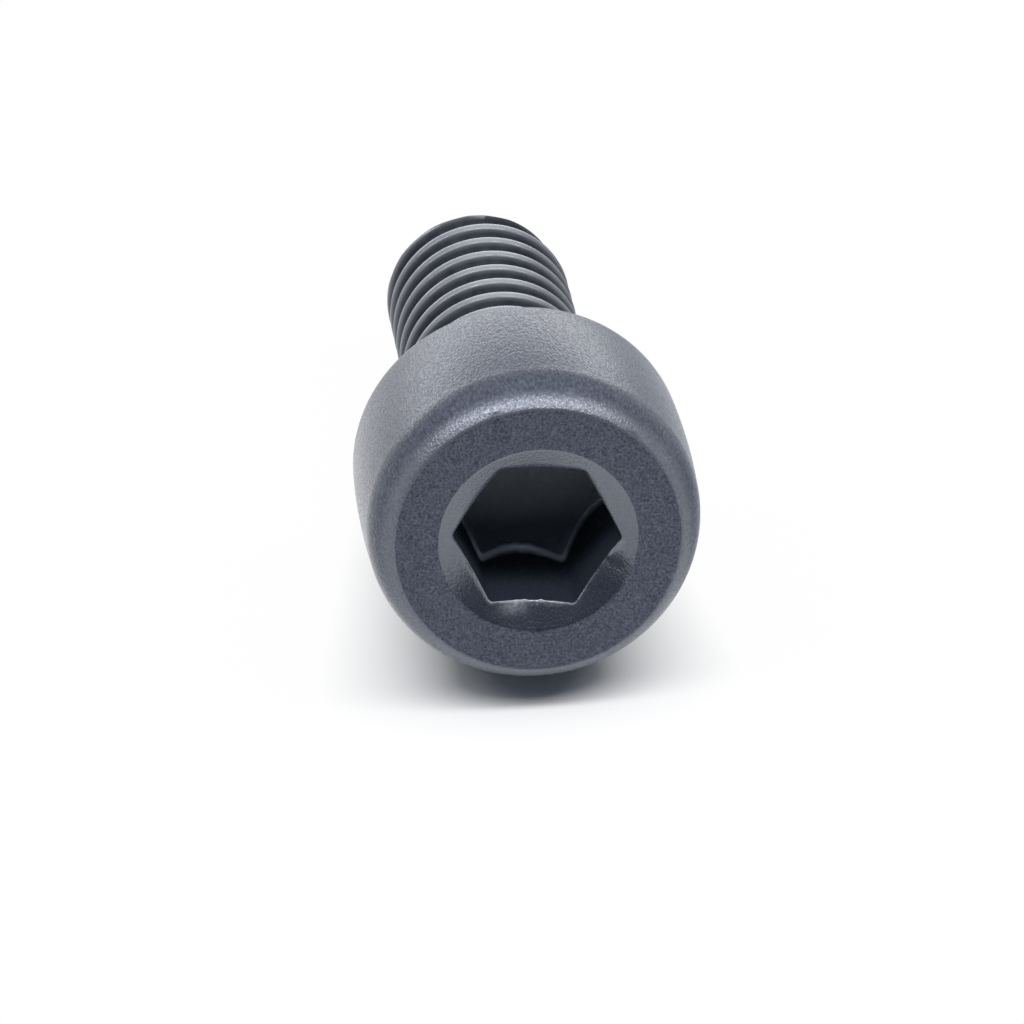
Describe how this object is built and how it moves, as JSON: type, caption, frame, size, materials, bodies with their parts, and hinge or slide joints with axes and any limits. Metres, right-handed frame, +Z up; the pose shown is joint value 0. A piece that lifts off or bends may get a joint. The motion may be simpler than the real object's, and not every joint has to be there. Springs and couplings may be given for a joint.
{
  "type": "socket head cap screw",
  "caption": "Small steel cap screw with a cylindrical head, a hexagon socket and a metric thread up to the head, lying on its side.",
  "frame": {"origin": "on the table under the middle of the screw's box, as it lies", "axes": "+Z up; the screw lies along Y with its crown and socket facing -Y and its tip towards +Y, and its axis slopes down towards the tip"},
  "size_m": [0.007, 0.0126, 0.0073],
  "materials": {
    "oxide_steel": "matt dark grey conversion coating on steel, slightly grainy on the head, smoother and darker on the thread"
  },
  "bodies": {
    "root": {"cap_screw": "oxide_steel"}
  },
  "joints": []
}
